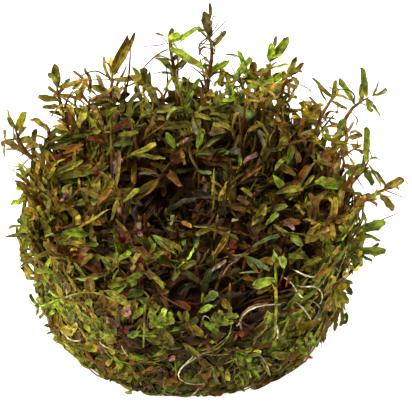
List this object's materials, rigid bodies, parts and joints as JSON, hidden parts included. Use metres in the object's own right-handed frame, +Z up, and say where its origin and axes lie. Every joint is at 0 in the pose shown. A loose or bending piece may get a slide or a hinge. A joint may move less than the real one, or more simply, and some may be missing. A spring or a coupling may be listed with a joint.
{
  "type": "rotala clump without its growing cup",
  "caption": "Free-standing, cup-shaped clump of rotala, a red and green aquarium stem plant: pressed flat at the front wall, with loose leafy shoots above a round root mat.",
  "frame": {"origin": "centre of the flat underside of the root mat", "axes": "+Z up, away from the face it rests on; -Y is the side that the picture shows, +X is to the right there"},
  "size_m": [0.0993, 0.0828, 0.0606],
  "materials": {
    "roots": "pale fibrous roots and old brown stem bases, damp",
    "matted_growth": "dark tangle of old stems and leaves, damp",
    "green_shoots": "living leaves, waxy and damp, green to olive",
    "olive_shoots": "living leaves, waxy and damp, olive to red-brown"
  },
  "bodies": {
    "root": {"root_mat": "roots", "leaf_mat": "matted_growth", "shoot_far_left": "olive_shoots", "shoot_left": "green_shoots", "shoot_left_low": "green_shoots", "shoot_left_fork": "olive_shoots", "shoot_tall_left": "green_shoots", "shoot_star": "green_shoots", "shoot_crown": "olive_shoots", "shoot_back_right": "green_shoots", "shoot_pair": "green_shoots", "shoot_orange": "olive_shoots", "shoot_right_fan": "green_shoots", "shoot_far_right": "green_shoots", "shoot_red_bud": "olive_shoots", "shoot_right_spear": "green_shoots", "shoot_right_arm": "green_shoots", "shoot_right_green": "olive_shoots", "shoot_right_low": "green_shoots", "shoot_corner": "green_shoots", "shoot_big_leaf": "olive_shoots", "shoot_front_1": "green_shoots", "shoot_front_2": "green_shoots", "shoot_front_3": "olive_shoots", "shoot_front_4": "green_shoots", "shoot_front_5": "green_shoots", "shoot_front_6": "olive_shoots", "shoot_front_7": "green_shoots", "shoot_front_8": "green_shoots", "shoot_front_9": "olive_shoots", "shoot_front_inner_1": "green_shoots", "shoot_front_inner_2": "green_shoots", "shoot_front_inner_3": "olive_shoots", "shoot_front_inner_4": "green_shoots", "shoot_front_inner_5": "green_shoots", "shoot_front_inner_6": "olive_shoots", "shoot_middle_1": "green_shoots", "shoot_middle_2": "green_shoots", "shoot_middle_3": "olive_shoots", "shoot_middle_4": "green_shoots", "shoot_middle_5": "green_shoots", "shoot_back_inner_1": "olive_shoots", "shoot_back_inner_2": "green_shoots", "shoot_back_inner_3": "green_shoots", "shoot_back_inner_4": "olive_shoots", "shoot_back_inner_5": "green_shoots", "shoot_back_inner_6": "green_shoots"}
  },
  "joints": []
}
